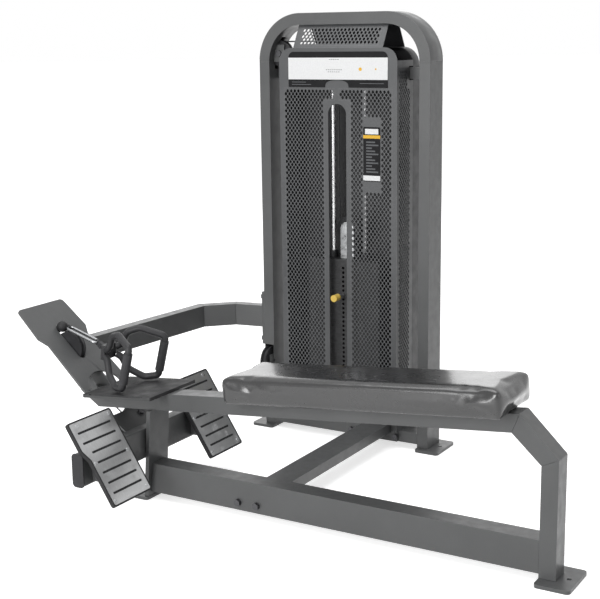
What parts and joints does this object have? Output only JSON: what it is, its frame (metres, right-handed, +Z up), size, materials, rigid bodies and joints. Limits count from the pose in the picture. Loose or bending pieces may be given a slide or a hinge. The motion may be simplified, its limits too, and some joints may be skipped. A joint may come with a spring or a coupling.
{
  "type": "seated cable row machine",
  "caption": "Long padded bench on a steel spine with angled footplates, a guarded low pulley with twin D handles, and a boxed weight tower beside it joined by a boom.",
  "frame": {"origin": "on the floor under the middle of the machine's bounding box", "axes": "+X along the bench from the footplates to the rear end, +Y from the bench to the weight tower, +Z up"},
  "size_m": [1.838, 1.274, 1.5],
  "materials": {
    "frame_paint": "satin powder coat, dark grey",
    "shroud_paint": "satin powder coat, dark grey",
    "rear_sheet": "satin black sheet",
    "zinc": "bright zinc",
    "chrome": "polished",
    "tread": "ribbed aluminium",
    "black_rubber": "moulded black rubber",
    "black_plastic": "moulded black plastic",
    "stack_iron": "black painted weight plates",
    "cable": "coated wire rope",
    "upholstery": "black synthetic leather over foam",
    "board": "black stained plywood",
    "placard": "plain white panel with dark borders",
    "label": "plain label",
    "handle_black": "black",
    "grip": "textured rubber"
  },
  "bodies": {
    "machine": {"base_beam": "frame_paint", "boom_arm": "frame_paint", "boom_bend": "frame_paint", "boom_root": "frame_paint", "cable_anchor": "zinc", "cross_brace": "frame_paint", "cross_tube_end_caps": "black_plastic", "far_footplate_backing": "black_rubber", "floor_plates": "frame_paint", "footplate_ribs": "frame_paint", "footplate_screws": "zinc", "footplate_treads": "tread", "footrest_cross_tube": "frame_paint", "frame_bolts": "zinc", "front_placard": "placard", "front_post": "frame_paint", "guard_cheeks": "frame_paint", "guard_plate": "frame_paint", "guide_rods": "chrome", "handle_tray": "frame_paint", "hoop_left_leg": "frame_paint", "hoop_right_leg": "frame_paint", "hoop_top": "frame_paint", "instruction_label": "label", "near_footplate_backing": "black_rubber", "pull_cable": "cable", "pulley_axles": "zinc", "rear_elbow": "frame_paint", "rear_upright": "frame_paint", "resting_plates": "stack_iron", "rod_cross_bar": "frame_paint", "seat_beam": "frame_paint", "seat_pad": "upholstery", "seat_pad_board": "board", "shroud_front_cover": "shroud_paint", "shroud_rear_cover": "rear_sheet", "shroud_top_panel": "shroud_paint", "stack_bumpers": "black_rubber", "tower_base_tube": "frame_paint", "tower_pulley_lugs": "frame_paint", "turn_pulley_bracket": "frame_paint"},
    "cable_end": {"cable_ball": "black_rubber"},
    "link": {"snap_link": "chrome"},
    "handle": {"handle_shackle": "handle_black", "near_handle_frame": "handle_black", "far_handle_frame": "handle_black", "handle_grips": "grip"},
    "carriage": {"head_plate": "stack_iron", "lifted_plates": "stack_iron", "selector_stem": "chrome", "head_bushings": "black_plastic", "floating_pulley_yoke": "zinc", "floating_pulley_axle": "zinc"},
    "selector": {"selector_pin": "zinc"},
    "exit_wheel": {"exit_pulley": "black_plastic"},
    "turn_wheel": {"turn_pulley": "black_plastic"},
    "leg_wheel": {"leg_pulley": "black_plastic"},
    "hoop_wheel": {"hoop_pulley": "black_plastic"},
    "top_wheel": {"top_pulley": "black_plastic"},
    "floating_wheel": {"floating_pulley": "black_plastic"}
  },
  "joints": [
    {"name": "stack_lift", "type": "slide", "parent": "machine", "child": "carriage", "axis": [0, 0, 1], "range_m": [0, 0.45], "deforming": ["pull_cable"]},
    {"name": "handle_pull", "type": "slide", "parent": "machine", "child": "cable_end", "axis": [0.9578, 0, 0.2874], "range_m": [0, 0.9]},
    {"name": "link_swing", "type": "hinge", "parent": "cable_end", "child": "link", "pos_m": [-0.797, -0.282, 0.51], "axis": [0, -1, 0], "range_deg": [0, 40]},
    {"name": "handle_swing", "type": "hinge", "parent": "link", "child": "handle", "pos_m": [-0.68, -0.282, 0.475], "axis": [0, -1, 0], "range_deg": [0, 50]},
    {"name": "pin_withdraw", "type": "slide", "parent": "carriage", "child": "selector", "axis": [0, -1, 0], "range_m": [0, 0.07]},
    {"name": "exit_wheel_spin", "type": "hinge", "parent": "machine", "child": "exit_wheel", "pos_m": [-0.7902, -0.282, 0.447], "axis": [0, 1, 0], "range_deg": [0, 1076]},
    {"name": "turn_wheel_spin", "type": "hinge", "parent": "machine", "child": "turn_wheel", "pos_m": [-0.564, -0.234, 0.2335], "axis": [-0.5659, 0, -0.8244], "range_deg": [0, 1076]},
    {"name": "leg_wheel_spin", "type": "hinge", "parent": "machine", "child": "leg_wheel", "pos_m": [-0.52443, 0.504, 0.25433], "axis": [-1, 0, 0], "range_deg": [0, 1076]},
    {"name": "hoop_wheel_spin", "type": "hinge", "parent": "machine", "child": "hoop_wheel", "pos_m": [-0.48443, 0.552, 1.364], "axis": [0, -1, 0], "range_deg": [0, 1291]},
    {"name": "top_wheel_spin", "type": "hinge", "parent": "machine", "child": "top_wheel", "pos_m": [-0.295, 0.552, 1.364], "axis": [0, -1, 0], "range_deg": [0, 1291]},
    {"name": "floating_wheel_spin", "type": "hinge", "parent": "carriage", "child": "floating_wheel", "pos_m": [-0.215, 0.552, 0.757], "axis": [0, 1, 0], "range_deg": [0, 646]}
  ],
  "couplings": [
    {"joint": "handle_pull", "follows": "stack_lift", "ratio": 2},
    {"joint": "exit_wheel_spin", "follows": "stack_lift", "rad_per_m": 41.667},
    {"joint": "turn_wheel_spin", "follows": "stack_lift", "rad_per_m": 41.667},
    {"joint": "leg_wheel_spin", "follows": "stack_lift", "rad_per_m": 41.667},
    {"joint": "hoop_wheel_spin", "follows": "stack_lift", "rad_per_m": 50},
    {"joint": "top_wheel_spin", "follows": "stack_lift", "rad_per_m": 50},
    {"joint": "floating_wheel_spin", "follows": "stack_lift", "rad_per_m": 25}
  ]
}
